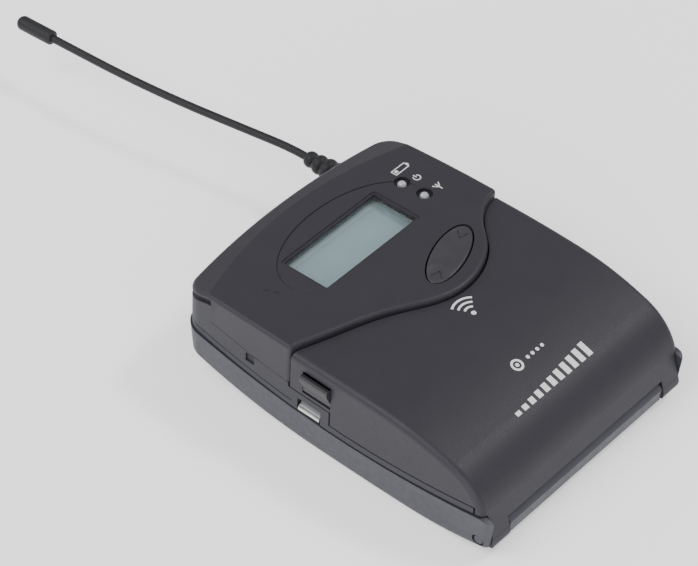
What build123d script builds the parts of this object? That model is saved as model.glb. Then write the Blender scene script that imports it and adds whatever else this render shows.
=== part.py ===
from build123d import *
import math
import os

# Belt-worn wireless transmitter.  Millimetres.  X runs across the housing, Y runs along it towards
# the antenna, Z points out of the front face.  The origin is on the flat land of the back, in the
# middle of the housing's length, so the part lies on its back on the plane Z = 0.

# ---------------------------------------------------------------- housing outline
HALF_WIDTH = 32.0           # at the widest point of the sides
SIDE_RADIUS = 990.0         # the sides bow very slightly outwards
SIDE_CENTRE_Y = -5.0
ANTENNA_END_Y = 41.2        # middle of the bowed antenna end
ANTENNA_END_RADIUS = 205.0
ANTENNA_CORNER = 4.5        # vertical corners of the antenna end
HINGE_END_Y = -41.4
HINGE_CORNER = 2.2

# ---------------------------------------------------------------- side profile
LAND_REAR_Y = -20.0         # flat land of the back, between two long arcs
LAND_FRONT_Y = 4.0
BACK_RADIUS_FRONT = 136.0
BACK_RADIUS_REAR = 88.0
SEAM_RADIUS = 228.0         # parting line between the rear shell and the frame
SEAM_LOW_Z = 8.0
SEAM_LOW_Y = -3.0
RIM_STRIP = 1.8             # frame strip seen between the seam and the cover's lip
SKIRT_RISE = 6.0            # height of the front panel's lower edge above the seam
PANEL_TOP_Z = 24.3
PANEL_APEX_Y = 5.0
PANEL_RADIUS = 400.0
COVER_TOP_Z = 23.0
COVER_APEX_Y = -4.0
COVER_ARCS = ((400.0, 1.15), (66.0, 18.0), (12.8, 71.0))   # radius, angle at the arc's end
COVER_TAIL_ANGLE = 73.0
BEVEL_SLOPE = 0.3           # slanted facet in front of the panel's curved crease
BEVEL_RADIUS = 400.0
BEVEL_CREASE_Y = 38.0
BACK_EDGE_RADIUS = 1.2
PANEL_EDGE_RADIUS = 0.9
WAVE_EDGE_RADIUS = 0.85
COVER_EDGE_RADIUS = 1.5

# ---------------------------------------------------------------- walls and gaps
WALL = 1.5
PART_GAP = 0.12             # parting lines between fixed pieces
PLATE_THICK = 0.9           # front panel's overhanging plate at the antenna end
SHADOW_GAP = 1.5            # open groove under that plate
SEAM_GROOVE = (0.36, 0.7)   # rise and depth of the groove along the parting line
TRIM_LINE = (1.68, 1.9)     # fine line moulded in the frame, as rises above the seam
TRIM_DEPTH = 0.25
TRIM_START_Y = 9.4
MOVE_GAP = 0.35             # room round pieces that move
REACH = 60.0                # further out than any piece of the housing

# ---------------------------------------------------------------- the wave between panel and cover
WAVE = ((-32.5, 10.2), (-25.7, 8.1), (-18.0, 5.5), (-9.0, 1.7), (-1.0, -2.5), (6.0, -3.9),
        (12.5, -2.7), (18.3, 0.7), (22.0, 4.7), (25.8, 7.7), (32.5, 9.4))
SIDE_SPLIT_Y = 10.2         # where the wave runs down the side walls
TONGUE_Z = 13.7             # lower edge of the cover's side tongue
TONGUE_REAR_Y = -0.9

# ---------------------------------------------------------------- hinge of the battery cover
HINGE_Y = -38.4
HINGE_Z = 4.05
HINGE_RADIUS = 3.1
HINGE_PIN_RADIUS = 1.2
HINGE_PIN_INNER_X = 21.0
HINGE_PIN_OUTER_X = 31.0
BARREL_HALF = 24.4
KNUCKLE_OUT = 29.9
EAR_IN = 30.2
EAR_RADIUS = 6.7
EAR_HOLE_RADIUS = 1.4
STRIP_END_Y = -37.0
COVER_CENTRE_Z = 7.4        # lower edge of the cover's end wall over the barrel

# ---------------------------------------------------------------- inside the housing
BAY_FRONT_Y = -5.2          # wall between the battery bay and the electronics
BAY_REAR_Y = -37.2
BAY_SIDE_X = 28.0
INNER_WALL = 1.2
BAY_WALL_TOP_Z = 12.3
DECK_TOP_Z = 17.5           # deck with the two buttons, under the cover
DECK_THICK = 1.2
NOTCH_Y = 31.6              # where the panel's side skirt starts
CELL_RADIUS = 7.1
CELL_LENGTH = 49.2
CELL_Z = 10.2
CELL_Y = (-28.4, -13.0)
MAIN_BOARD_Z = 7.0
DISPLAY_BOARD_Z = 17.2
KEY_BOARD_Z = 12.6
BOARD_THICK = 0.9

# ---------------------------------------------------------------- display, lights and rocker
WINDOW_SIZE = (28.0, 11.5)
WINDOW_CENTRE = (0.1, 21.8)
WINDOW_TOP_Z = 23.05
LENS_FLANGE = 1.2
LENS_FLANGE_TOP_Z = 21.85
LENS_FLANGE_THICK = 0.5
GROOVE_CENTRE = (1.4, 21.6)
GROOVE_SEMI_AXES = (20.4, 11.7)
GROOVE_WIDTH = 0.32
GROOVE_FADE_Y = 15.5         # the groove runs out into the face here and is deepest at its far side
GROOVE_FADE_ANGLE = 0.85
LIGHT_PLACES = ((20.5, 25.4), (20.8, 19.6))
LIGHT_WELL_RADIUS = 1.75
LIGHT_WELL_DEPTH = 0.95
LIGHT_RADIUS = 1.05
ROCKER_CENTRE = (10.15, 4.1)
ROCKER_ANGLE = 18.0
ROCKER_SEMI_AXES = (9.55, 3.85)
ROCKER_GAP = 0.3
ROCKER_TOP_Z = 24.55
ROCKER_PIVOT_Z = 20.6
ROCKER_CROWN = 130.0
ROCKER_PRESS_U = 6.6        # where the two ends are pressed

# ---------------------------------------------------------------- end face fittings
FITTING_Z = 13.5            # height of the jack, the mute switch and the antenna
JACK_X = -20.0
JACK_BORE_RADIUS = 1.8
JACK_COLLAR_RADIUS = 4.0
JACK_PROUD = 2.0
MUTE_X = 0.5
MUTE_TRAVEL = 3.0
ANTENNA_X = 21.7
ANTENNA_ROOT_Y = 40.9
ANTENNA_ROOT_RADIUS = 3.0
BOOT_END_Y = 52.3
WHIP_RADIUS = 0.9
WHIP_ROUTE = ((21.7, 44.0), (21.7, 56.0), (14.9, 92.0), (12.8, 121.4))
WHIP_BENDS = (57.0, 277.0)
TIP_LENGTH = 9.9
TIP_RADIUS = 1.68
BOOT_RIBS = 4
BOOT_RIB_START = 1.6
BOOT_RADII = (2.85, 2.55, 2.2, 1.85)
BOOT_GROOVE = 0.36

# ---------------------------------------------------------------- latch tabs and charging contacts
LATCH_Y = (-0.75, 6.35)
LATCH_PIVOT_X = 31.2
LATCH_PIVOT_Z = 15.2
LATCH_ROOT_RADIUS = 0.6
LATCH_FACE_X = 31.8         # lower part of the tab, level with the cover's side
LATCH_PROUD_X = 33.1
LATCH_STEP_Z = (15.9, 18.4)
LATCH_TOP_Z = 19.9
LATCH_WINDOW_Z = (14.4, 20.3)
LATCH_SIDE_GAP = 0.12
CONTACT_Y = (1.6, 7.7)
CONTACT_Z = (8.45, 11.9)
CONTACT_ROOT_X = 29.4
SIDE_SLOT_Y = (19.5, 21.8)
SIDE_SLOT_Z = (12.8, 14.9)
KEY_PLACES = ((-20.0, 0.2), (24.0, 1.2))
KEY_RADIUS = 2.3
KEY_CAP_LOW_Z = 15.4
LCD_TOP_Z = 21.2
POST_TOP_Z = 12.2
SCREW_TOP_Z = 11.4
SCREW_PLACES = ((-26.5, 30.5), (26.5, 30.5), (-25.5, 0.5), (25.5, 0.5))


def half_width(y, inset=0.0):
    """Half width of the outline at y."""
    return HALF_WIDTH - inset - (y - SIDE_CENTRE_Y) ** 2 / (2 * SIDE_RADIUS)


def outline(inset=0.0, hinge_y=HINGE_END_Y, hinge_corner=HINGE_CORNER):
    """Plan outline of the housing, drawn in by inset."""
    end_y = ANTENNA_END_Y - inset
    shoulder_y = end_y - (HALF_WIDTH - inset) ** 2 / (2 * ANTENNA_END_RADIUS)
    shoulder_x = half_width(shoulder_y, inset)
    rear_y = hinge_y + inset
    rear_x = half_width(rear_y, inset)
    side_x = HALF_WIDTH - inset
    edges = [
        ThreePointArc((rear_x, rear_y), (side_x, SIDE_CENTRE_Y), (shoulder_x, shoulder_y)),
        ThreePointArc((shoulder_x, shoulder_y), (0, end_y), (-shoulder_x, shoulder_y)),
        ThreePointArc((-shoulder_x, shoulder_y), (-side_x, SIDE_CENTRE_Y), (-rear_x, rear_y)),
        Line((-rear_x, rear_y), (rear_x, rear_y)),
    ]
    face = make_face(edges)
    corners = face.vertices().sort_by(Axis.Y)
    face = fillet(corners[2:], max(ANTENNA_CORNER - inset, 1.0))
    corners = face.vertices().sort_by(Axis.Y)
    return fillet(corners[:2], max(hinge_corner - inset, 0.5))


def prism(low, high, **options):
    """Drafted block between two outlines, each given as (height, inset)."""
    faces = [Pos(0, 0, height) * outline(inset, **options) for height, inset in (low, high)]
    return loft(faces, ruled=True)


def side_slab(edges):
    """Closed profile in the Y-Z plane, extruded across the whole width."""
    return extrude(Plane.YZ * make_face(edges), amount=REACH, both=True)


def back_height(y, offset=0.0):
    """Height of the bowed back at y, moved inwards by offset."""
    if y > LAND_FRONT_Y:
        radius, start = BACK_RADIUS_FRONT, LAND_FRONT_Y
    elif y < LAND_REAR_Y:
        radius, start = BACK_RADIUS_REAR, LAND_REAR_Y
    else:
        return offset
    return radius - math.sqrt((radius - offset) ** 2 - (y - start) ** 2)


def above_back(offset=0.0):
    """Everything above the back surface."""
    ends = 50.0
    middle = 25.0
    rear = ThreePointArc((-ends, back_height(-ends, offset)),
                         (-ends + middle / 2, back_height(-ends + middle / 2, offset)),
                         (LAND_REAR_Y, offset))
    land = Line((LAND_REAR_Y, offset), (LAND_FRONT_Y, offset))
    front = ThreePointArc((LAND_FRONT_Y, offset), (middle, back_height(middle, offset)),
                          (ends, back_height(ends, offset)))
    roof = Polyline((ends, back_height(ends, offset)), (ends, REACH), (-ends, REACH),
                    (-ends, back_height(-ends, offset)))
    return side_slab([rear, land, front, roof])


def seam_height(y, rise=0.0):
    """Height of the parting line at y, raised by rise."""
    return SEAM_LOW_Z + SEAM_RADIUS - math.sqrt((SEAM_RADIUS - rise) ** 2 - (y - SEAM_LOW_Y) ** 2)


def seam_slab(rise, above):
    """Everything above, or below, the parting line raised by rise."""
    start, middle, end = ((y, seam_height(y, rise)) for y in (-REACH, 0.0, REACH))
    limit = REACH if above else -REACH
    return side_slab([ThreePointArc(start, middle, end),
                      Polyline(end, (REACH, limit), (-REACH, limit), start)])


def panel_height(y, offset=0.0):
    """Height of the front panel's bowed face at y, lowered by offset."""
    centre_z = PANEL_TOP_Z - PANEL_RADIUS
    return centre_z + math.sqrt((PANEL_RADIUS - offset) ** 2 - (y - PANEL_APEX_Y) ** 2)


def below_panel(offset=0.0):
    """Everything below the front panel's face."""
    start, middle, end = ((y, panel_height(y, offset)) for y in (-REACH, 0.0, REACH))
    return side_slab([ThreePointArc(start, middle, end),
                      Polyline(end, (REACH, -REACH), (-REACH, -REACH), start)])


def cover_curve(offset=0.0):
    """Edges of the cover's top, from in front of the wave round to the tail beside the hinge."""
    centre_y = COVER_APEX_Y
    centre_z = COVER_TOP_Z - COVER_ARCS[0][0]
    front = (COVER_APEX_Y + 20.0, centre_z + math.sqrt((COVER_ARCS[0][0] - offset) ** 2 - 20.0 ** 2))
    apex = (COVER_APEX_Y, COVER_TOP_Z - offset)
    edges = []
    start = front
    before = 0.0
    for index, (radius, angle) in enumerate(COVER_ARCS):
        reach = radius - offset
        end = (centre_y - reach * math.sin(math.radians(angle)),
               centre_z + reach * math.cos(math.radians(angle)))
        half = math.radians((before + angle) / 2)
        middle = apex if index == 0 else (centre_y - reach * math.sin(half),
                                          centre_z + reach * math.cos(half))
        edges.append(ThreePointArc(start, middle, end))
        if index + 1 < len(COVER_ARCS):
            step = radius - COVER_ARCS[index + 1][0]
            centre_y -= step * math.sin(math.radians(angle))
            centre_z += step * math.cos(math.radians(angle))
        start = end
        before = angle
    drop = start[1] + 2.0
    tail = (start[0] - drop / math.tan(math.radians(COVER_TAIL_ANGLE)), -2.0)
    edges.append(Line(start, tail))
    return edges, front, tail


def below_cover(offset=0.0):
    """Everything below the cover's top and behind its end face."""
    edges, front, tail = cover_curve(offset)
    return side_slab(edges + [Polyline(tail, (REACH, -2.0), (REACH, front[1]), front)])


def wave_slab(shift, front):
    """Everything in front of, or behind, the wave moved along Y by shift."""
    points = [(x, y + shift) for x, y in WAVE]
    curve = Spline(*points, tangents=[(1.0, -0.15), (1.0, 0.1)])
    limit = REACH if front else -REACH
    sides = Polyline(points[-1], (REACH, points[-1][1]), (REACH, limit), (-REACH, limit),
                     (-REACH, points[0][1]), points[0])
    return extrude(make_face([curve, sides]), amount=REACH)


def bevel_block():
    """Everything below the slanted, slightly crowned facet at the antenna end."""
    slope = math.atan(BEVEL_SLOPE)
    crest = Vector(0, BEVEL_CREASE_Y, panel_height(BEVEL_CREASE_Y))
    axis = Vector(0, math.cos(slope), -math.sin(slope))
    normal = Vector(0, math.sin(slope), math.cos(slope))
    centre = crest - normal * BEVEL_RADIUS - axis * REACH * 2
    base = Plane(origin=centre, x_dir=(1, 0, 0), z_dir=axis)
    return extrude(base * Circle(BEVEL_RADIUS), amount=REACH * 4)


def below_face(drop):
    """Everything more than drop below the front face, its slanted facet included."""
    return below_panel(drop) & Pos(0, 0, -drop) * bevel_block()


def box(x, y, z):
    """Box from its limits along X, Y and Z."""
    size = (x[1] - x[0], y[1] - y[0], z[1] - z[0])
    centre = ((x[0] + x[1]) / 2, (y[0] + y[1]) / 2, (z[0] + z[1]) / 2)
    return Pos(*centre) * Box(*size)


def rod_x(radius, x, y, z):
    """Cylinder along X between two x limits."""
    centre = ((x[0] + x[1]) / 2, y, z)
    return Pos(*centre) * Rot(0, 90, 0) * Cylinder(radius, x[1] - x[0])


def rod_y(radius, x, y, z):
    """Cylinder along Y between two y limits."""
    centre = (x, (y[0] + y[1]) / 2, z)
    return Pos(*centre) * Rot(90, 0, 0) * Cylinder(radius, y[1] - y[0])


def rod_z(radius, x, y, z):
    """Cylinder along Z between two z limits."""
    centre = (x, y, (z[0] + z[1]) / 2)
    return Pos(*centre) * Cylinder(radius, z[1] - z[0])


def both_sides(shape):
    """A shape and its mirror image across the middle plane."""
    return shape + mirror(shape, about=Plane.YZ)


# ================================================================ housing
def rear_shell():
    """Shallow drafted tray: back, lower side walls, hinge ears and hinge barrel."""
    def hull(inset, offset):
        return prism((-1.0, 0.7 + inset), (13.0, -0.45 + inset)) & above_back(offset)

    outer = hull(0.0, 0.0)
    rim = [edge for edge in outer.edges() if edge.bounding_box().max.Z < 7.5]
    outer = fillet(rim, BACK_EDGE_RADIUS)
    outer &= seam_slab(-PART_GAP / 2, above=False)
    shell = outer - hull(WALL, WALL)
    shell -= box((-EAR_IN, EAR_IN), (-45.0, BAY_REAR_Y - 0.1), (-5.0, 20.0))
    ear_zone = box((-40.0, 40.0), (-45.0, HINGE_Y + 1.0), (HINGE_Z, 20.0))
    shell -= ear_zone - rod_x(EAR_RADIUS, (-40.0, 40.0), HINGE_Y, HINGE_Z)
    rear_wall = box((-EAR_IN, EAR_IN), (BAY_REAR_Y - 0.1, BAY_REAR_Y + INNER_WALL), (0.0, 10.4))
    barrel = rod_x(HINGE_RADIUS, (-BARREL_HALF, BARREL_HALF), HINGE_Y, HINGE_Z)
    web = box((-BARREL_HALF, BARREL_HALF), (HINGE_Y, BAY_REAR_Y), (0.0, HINGE_Z + 2.0))
    shell += (rear_wall + barrel + web) & hull(0.1, 0.0)
    for x, y in SCREW_PLACES:
        shell += rod_z(3.2, x, y, (back_height(y) + 0.5, back_height(y) + 4.0))
        shell -= rod_z(2.3, x, y, (-5.0, back_height(y) + 1.6))
        shell -= rod_z(1.0, x, y, (-5.0, 20.0))
    shell -= both_sides(rod_x(EAR_HOLE_RADIUS, (EAR_IN - 0.5, 40.0), HINGE_Y, HINGE_Z))
    shell -= both_sides(rod_x(HINGE_PIN_RADIUS + 0.02, (HINGE_PIN_INNER_X - 0.3, BARREL_HALF + 1.0),
                              HINGE_Y, HINGE_Z))
    shell -= box((-17.2, 17.2), (-18.7, -5.8), (-1.0, 0.4))
    return shell - knuckle_room() - end_openings()


def knuckle_room():
    """Space round the cover's hinge knuckles."""
    return both_sides(rod_x(HINGE_RADIUS + MOVE_GAP, (BARREL_HALF, EAR_IN), HINGE_Y, HINGE_Z))


def mid_frame():
    """Moulded frame: visible side band, battery bay walls, button deck and antenna end wall."""
    def hull(inset):
        return prism((0.0, inset), (26.0, 0.12 + inset))

    strip = seam_slab(RIM_STRIP, above=False) & box((-REACH, REACH), (STRIP_END_Y, TONGUE_REAR_Y + MOVE_GAP),
                                                    (-REACH, REACH))
    tongue = box((-REACH, REACH), (TONGUE_REAR_Y + MOVE_GAP, SIDE_SPLIT_Y), (-REACH, TONGUE_Z - 0.3))
    skirt = seam_slab(SKIRT_RISE, above=False) & box((-REACH, REACH), (SIDE_SPLIT_Y, NOTCH_Y),
                                                     (-REACH, REACH))
    end = below_face(PLATE_THICK + SHADOW_GAP) & box((-REACH, REACH), (NOTCH_Y, REACH), (-REACH, REACH))
    body = hull(0.0) & seam_slab(PART_GAP / 2, above=True) & (strip + tongue + skirt + end)
    frame = body - hull(WALL)
    inside = hull(WALL - 0.01)
    ledge = (hull(0.75) - hull(WALL)) & below_face(PLATE_THICK + 0.1) & seam_slab(PART_GAP / 2, above=True)
    frame += ledge & box((-REACH, REACH), (NOTCH_Y, REACH), (10.0, REACH))

    flange = body & box((-40.0, 40.0), (BAY_REAR_Y, SIDE_SPLIT_Y), (0.0, TONGUE_Z - 0.3))
    flange -= box((-BAY_SIDE_X, BAY_SIDE_X), (-50.0, 50.0), (-5.0, 30.0))
    frame += flange
    side = box((BAY_SIDE_X, BAY_SIDE_X + INNER_WALL), (BAY_REAR_Y + 1.5, BAY_FRONT_Y), (0.0, BAY_WALL_TOP_Z))
    shoulder = box((BAY_SIDE_X, BAY_SIDE_X + INNER_WALL), (BAY_FRONT_Y, SIDE_SPLIT_Y), (0.0, DECK_TOP_Z))
    bay = both_sides(side + shoulder)
    half = BAY_SIDE_X + INNER_WALL
    bay += box((-half, half), (BAY_FRONT_Y, BAY_FRONT_Y + INNER_WALL), (0.0, DECK_TOP_Z))
    deck = box((-half, half), (BAY_FRONT_Y, 14.0), (DECK_TOP_Z - DECK_THICK, DECK_TOP_Z))
    bay += deck - wave_slab(2.6, front=True)
    frame += bay & above_back(WALL + 0.1) & inside
    for x, y in SCREW_PLACES:
        post = rod_z(2.4, x, y, (back_height(y) + 4.1, POST_TOP_Z))
        post += box((min(x, x * 1.25), max(x, x * 1.25)), (y - 0.8, y + 0.8), (POST_TOP_Z - 1.6, POST_TOP_Z))
        frame += post & hull(WALL - 0.4)
        frame -= rod_z(3.3, x, y, (-5.0, back_height(y) + 4.1))
        frame -= rod_z(0.9, x, y, (-5.0, SCREW_TOP_Z + 0.2))
    slab = box((-40.0, 40.0), (-50.0, 50.0), (0.0, 30.0))
    frame -= (slab - hull(SEAM_GROOVE[1])) & seam_slab(SEAM_GROOVE[0], above=False)
    trim = seam_slab(TRIM_LINE[0], above=True) & seam_slab(TRIM_LINE[1], above=False)
    frame -= (slab - hull(TRIM_DEPTH)) & trim & box((-40.0, 40.0), (TRIM_START_Y, 50.0), (0.0, 30.0))
    return frame - frame_openings() - end_openings() - knuckle_room()


def frame_openings():
    """Windows for the contacts, small side recesses and holes for the deck buttons."""
    holes = both_sides(box((CONTACT_ROOT_X, 40.0), CONTACT_Y, (0.0, CONTACT_Z[1]))
                       + box((CONTACT_ROOT_X, CONTACT_ROOT_X + 0.65), CONTACT_Y, (5.0, CONTACT_Z[1] + 2.3))
                       + box((31.15, 40.0), SIDE_SLOT_Y, SIDE_SLOT_Z)
                       + box((30.75, 40.0), SIDE_SLOT_Y, (SIDE_SLOT_Z[1] - 0.8, SIDE_SLOT_Z[1])))
    for x, y in KEY_PLACES:
        holes += rod_z(KEY_RADIUS + 0.3, x, y, (DECK_TOP_Z - 3.0, DECK_TOP_Z + 3.0))
    return holes


def end_openings():
    """Openings for the jack, the antenna root and the mute slider, cut across the parting line."""
    holes = rod_y(JACK_COLLAR_RADIUS + 0.05, JACK_X, (35.0, 45.0), FITTING_Z)
    holes += rod_y(ANTENNA_ROOT_RADIUS + 0.5, ANTENNA_X, (35.0, 45.0), FITTING_Z)
    slot = MUTE_TRAVEL + 4.6
    holes += box((MUTE_X - 2.3, MUTE_X - 2.3 + slot), (35.0, 45.0), (FITTING_Z - 1.9, FITTING_Z + 1.9))
    return holes


def front_panel():
    """Raised front panel: bowed face, slanted facet, curled edge along the wave and side skirts."""
    def hull(inset, drop):
        return prism((0.0, inset), (26.0, 0.12 + inset)) & below_panel(drop)

    outer = hull(0.0, 0.0) & bevel_block() & wave_slab(0.0, front=True)
    tops = [edge for edge in outer.edges() if edge.bounding_box().min.Z > 19.5]
    outer = fillet([edge for edge in tops if edge.bounding_box().min.Y > 5.0], PANEL_EDGE_RADIUS)
    tops = [edge for edge in outer.edges() if edge.bounding_box().min.Z > 22.0 and edge.length > 40.0]
    outer = fillet([edge for edge in tops if edge.bounding_box().min.Y < 0.0], WAVE_EDGE_RADIUS)
    panel = outer - (hull(WALL, WALL + 0.1) & wave_slab(1.3, front=True))
    panel -= below_face(PLATE_THICK) & box((-40.0, 40.0), (NOTCH_Y, 60.0), (-5.0, 30.0))
    panel -= box((-30.2, 30.2), (-20.0, 60.0), (-5.0, DECK_TOP_Z + PART_GAP))
    panel -= seam_slab(SKIRT_RISE + PART_GAP, above=False)
    panel -= panel_openings()
    return panel


def oval(grow=0.0):
    """Outline of the rocker, turned to its place."""
    shape = Ellipse(ROCKER_SEMI_AXES[0] + grow, ROCKER_SEMI_AXES[1] + grow)
    return Pos(*ROCKER_CENTRE, 0) * Rot(0, 0, ROCKER_ANGLE) * shape


def panel_openings():
    """Display opening, light wells, rocker opening and the oval groove round the display."""
    width, height = WINDOW_SIZE
    opening = Pos(*WINDOW_CENTRE, 15) * extrude(RectangleRounded(width, height, 0.4), amount=15)
    lip = Pos(*WINDOW_CENTRE, 15) * extrude(RectangleRounded(width + 1.2, height + 1.2, 0.8), amount=15)
    cuts = opening + (lip - below_panel(0.25))
    for x, y in LIGHT_PLACES:
        top = panel_height(y)
        cuts += rod_z(LIGHT_WELL_RADIUS, x, y, (top - LIGHT_WELL_DEPTH, top + 2.0))
        cuts += rod_z(LIGHT_RADIUS + 0.06, x, y, (10.0, top))
    cuts += Pos(0, 0, 15) * extrude(oval(), amount=15)
    semi_x, semi_y = GROOVE_SEMI_AXES
    ring = Ellipse(semi_x, semi_y) - Ellipse(semi_x - GROOVE_WIDTH, semi_y - GROOVE_WIDTH)
    groove = Pos(*GROOVE_CENTRE, 15) * extrude(ring, amount=15)
    pivot = Pos(0, GROOVE_FADE_Y, panel_height(GROOVE_FADE_Y))
    fading = pivot * Rot(-GROOVE_FADE_ANGLE, 0, 0) * pivot.inverse() * below_panel()
    return cuts + (groove - fading)


# ================================================================ battery cover
def battery_cover():
    """Hinged cover: bowed top, end wall, side walls with latch windows, and two hinge knuckles."""
    def hull(inset, offset):
        return prism((-2.0, inset), (26.0, 0.12 + inset), hinge_y=-50.0) & below_cover(offset)

    outer = hull(0.0, 0.0) & wave_slab(-MOVE_GAP, front=False)
    rim = [edge for edge in outer.edges()
           if edge.bounding_box().max.Z > 5.0 and abs(edge.position_at(0.5).X) > 29.0
           and edge.length > 2.5 and edge.position_at(0.5).Z > 1.5 and edge.bounding_box().size.Y > 1.5]
    outer = fillet(rim, COVER_EDGE_RADIUS)
    cover = outer - hull(WALL, WALL)
    lip = seam_slab(RIM_STRIP + 0.3, above=False)
    cover -= lip & box((-40.0, 40.0), (STRIP_END_Y - 0.4, TONGUE_REAR_Y), (-5.0, 30.0))
    cover -= box((-40.0, 40.0), (TONGUE_REAR_Y, 20.0), (-5.0, TONGUE_Z))
    cover -= box((-BARREL_HALF - MOVE_GAP, BARREL_HALF + MOVE_GAP), (-50.0, 20.0), (-5.0, COVER_CENTRE_Z))
    clear = EAR_RADIUS + MOVE_GAP
    ear = rod_x(clear, (KNUCKLE_OUT, 40.0), HINGE_Y, HINGE_Z)
    ear += box((KNUCKLE_OUT, 40.0), (-50.0, STRIP_END_Y), (-5.0, HINGE_Z + 3.0))
    cover -= both_sides(ear)
    cover -= box((-BAY_SIDE_X - 3.0, BAY_SIDE_X + 3.0), (HINGE_Y + 1.0, 20.0), (-5.0, 9.0))
    cover -= box((-40.0, 40.0), (-50.0, 20.0), (-5.0, HINGE_Z))
    knuckle = rod_x(HINGE_RADIUS, (BARREL_HALF + MOVE_GAP, KNUCKLE_OUT), HINGE_Y, HINGE_Z)
    cover += both_sides(knuckle & above_back(0.1))
    hole = rod_x(HINGE_PIN_RADIUS + 0.05, (BARREL_HALF, KNUCKLE_OUT + 0.5), HINGE_Y, HINGE_Z)
    cover -= both_sides(hole)
    cover -= both_sides(box((BAY_SIDE_X, 40.0), (LATCH_Y[0] - LATCH_SIDE_GAP, LATCH_Y[1] + LATCH_SIDE_GAP),
                            LATCH_WINDOW_Z))
    return cover


def cover_pad():
    """Foam pad under the cover that keeps the cells down."""
    pad = box((-19.0, 19.0), (-27.0, -7.0), (CELL_Z + CELL_RADIUS + 0.6, 30.0))
    return pad & below_cover(WALL + 0.02)


def latch_tab(side):
    """Side tab that is pressed inwards: rounded root, level foot and proud finger bar."""
    root = Pos(LATCH_PIVOT_X, LATCH_PIVOT_Z) * Circle(LATCH_ROOT_RADIUS)
    inner = LATCH_PIVOT_X - LATCH_ROOT_RADIUS
    low, high = LATCH_STEP_Z
    points = [(inner, LATCH_PIVOT_Z), (LATCH_FACE_X, LATCH_PIVOT_Z), (LATCH_FACE_X, low),
              (LATCH_PROUD_X - 0.15, high - 0.1), (LATCH_PROUD_X, high + 0.3),
              (LATCH_PROUD_X, LATCH_TOP_Z - 0.4), (LATCH_PROUD_X - 0.3, LATCH_TOP_Z),
              (LATCH_PROUD_X - 1.0, LATCH_TOP_Z), (LATCH_FACE_X - 0.3, high + 0.8),
              (inner, low + 0.6), (inner, LATCH_PIVOT_Z)]
    blade = make_face(Polyline(*points))
    section = Plane.XZ * (root + blade)
    tab = Pos(0, LATCH_Y[0], 0) * extrude(section, amount=-(LATCH_Y[1] - LATCH_Y[0]))
    return tab if side > 0 else mirror(tab, about=Plane.YZ)


def hinge_pin(side):
    """Steel pin pushed in through the ear, the knuckle and the barrel."""
    pin = rod_x(HINGE_PIN_RADIUS, (HINGE_PIN_INNER_X, HINGE_PIN_OUTER_X), HINGE_Y, HINGE_Z)
    pin = chamfer(pin.edges(), 0.2)
    return pin if side > 0 else mirror(pin, about=Plane.YZ)


# ================================================================ display, lights and rocker
def display_window():
    """Clear display lens with a flange that sits under the panel."""
    x, y = WINDOW_CENTRE
    width, height = WINDOW_SIZE
    lens = Pos(x, y, LENS_FLANGE_TOP_Z) * extrude(RectangleRounded(width - 0.16, height - 0.16, 0.35),
                                                  amount=WINDOW_TOP_Z - LENS_FLANGE_TOP_Z)
    lens = chamfer(lens.edges().group_by(Axis.Z)[-1], 0.15)
    flange = Pos(x, y, LENS_FLANGE_TOP_Z - LENS_FLANGE_THICK) * extrude(
        RectangleRounded(width + 2 * LENS_FLANGE, height + 2 * LENS_FLANGE, 0.8), amount=LENS_FLANGE_THICK)
    return lens + flange


def lcd_glass():
    """Display cell under the lens."""
    x, y = WINDOW_CENTRE
    return box((x - 14.4, x + 14.4), (y - 6.4, y + 6.4), (LCD_TOP_Z - 1.1, LCD_TOP_Z))


def lcd_holder():
    """Backlight frame that carries the display cell over the board."""
    x, y = WINDOW_CENTRE
    frame = box((x - 15.6, x + 15.6), (y - 7.4, y + 7.4), (DISPLAY_BOARD_Z + BOARD_THICK, LCD_TOP_Z - 0.2))
    return frame - box((x - 14.45, x + 14.45), (y - 6.45, y + 6.45), (LCD_TOP_Z - 1.1, LCD_TOP_Z + 1.0))


def status_light(place):
    """Domed light pipe from the board up into its well."""
    x, y = place
    top = panel_height(y) - LIGHT_WELL_DEPTH
    pipe = rod_z(LIGHT_RADIUS, x, y, (DISPLAY_BOARD_Z + BOARD_THICK, top))
    return pipe + Pos(x, y, top) * (Sphere(LIGHT_RADIUS) & Pos(0, 0, 1) * Box(4, 4, 2))


def rocker_button():
    """Two-way rocker with a shallow finger dimple and an arrow at each end."""
    low = ROCKER_PIVOT_Z - 0.4
    blank = Pos(0, 0, low) * extrude(oval(-ROCKER_GAP), amount=8.0)
    crown = Pos(*ROCKER_CENTRE, ROCKER_TOP_Z - ROCKER_CROWN) * Rot(90, 0, 0) * Sphere(ROCKER_CROWN)
    rocker = blank & crown
    rocker = fillet(rocker.edges().sort_by(Axis.Z)[-1], 0.4)
    rocker += Pos(0, 0, low) * extrude(oval(0.6), amount=0.8)
    place = Pos(*ROCKER_CENTRE, 0) * Rot(0, 0, ROCKER_ANGLE)
    for side in (-1, 1):
        rocker -= place * Pos(side * ROCKER_PRESS_U, 0, ROCKER_TOP_Z + 9.4) * Sphere(9.9)
        rocker -= place * Pos(0, 0, ROCKER_TOP_Z - 0.26) * arrow_mark(side)
        rocker += place * Pos(side * ROCKER_PRESS_U, 0, low - 0.05) * Cylinder(0.9, 0.2)
    return rocker - place * Pos(0, 0, ROCKER_PIVOT_Z) * Rot(90, 0, 0) * Cylinder(0.87, 12.0)


def arrow_mark(side):
    """Small sunk chevron in a dimple, pointing inwards along the rocker."""
    arm = Pos(1.1, 0, 0) * Box(2.2, 0.24, 0.72)
    chevron = Rot(0, 0, 32) * arm + Rot(0, 0, -32) * arm
    turned = chevron if side > 0 else Rot(0, 0, 180) * chevron
    return Pos((ROCKER_PRESS_U - 1.2) * side, 0, 0) * turned


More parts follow.
